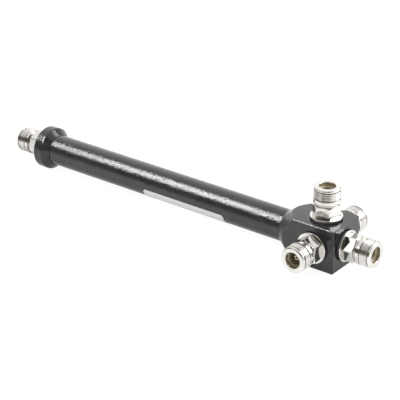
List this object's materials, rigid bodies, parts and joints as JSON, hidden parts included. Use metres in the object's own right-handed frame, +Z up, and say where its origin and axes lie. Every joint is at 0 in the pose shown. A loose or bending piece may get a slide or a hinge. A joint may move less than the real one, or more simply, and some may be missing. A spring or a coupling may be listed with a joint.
{
  "type": "rf power divider",
  "caption": "Coaxial power divider: long black tube with a threaded jack at its input end and a square junction block carrying output jacks on its end, top and both sides.",
  "frame": {"origin": "middle of the junction block's underside, straight below the crossing of the port axes", "axes": "+X along the tube from the input jack towards the block and its end jack, +Z up through the top jack, -Y through the front jack"},
  "size_m": [0.2697, 0.067, 0.047],
  "materials": {
    "black_paint": "satin",
    "nickel_plate": "polished",
    "gold_plate": "satin",
    "bare_brass": "satin",
    "white_fluoropolymer": "matte",
    "black_rubber": "matte",
    "silver_label": "satin"
  },
  "bodies": {
    "root": {"tube": "black_paint", "junction_block": "black_paint", "input_collar": "black_paint", "inner_conductor": "bare_brass", "junction_hub": "bare_brass", "support_bead_input": "white_fluoropolymer", "support_bead_middle": "white_fluoropolymer", "label": "silver_label", "input_jack_shell": "nickel_plate", "input_jack_gasket": "black_rubber", "input_jack_insulator": "white_fluoropolymer", "input_jack_contact": "gold_plate", "top_jack_shell": "nickel_plate", "top_jack_gasket": "black_rubber", "top_jack_insulator": "white_fluoropolymer", "top_jack_contact": "gold_plate", "front_jack_shell": "nickel_plate", "front_jack_gasket": "black_rubber", "front_jack_insulator": "white_fluoropolymer", "front_jack_contact": "gold_plate", "rear_jack_shell": "nickel_plate", "rear_jack_gasket": "black_rubber", "rear_jack_insulator": "white_fluoropolymer", "rear_jack_contact": "gold_plate", "end_jack_shell": "nickel_plate", "end_jack_gasket": "black_rubber", "end_jack_insulator": "white_fluoropolymer", "end_jack_contact": "gold_plate"}
  },
  "joints": []
}
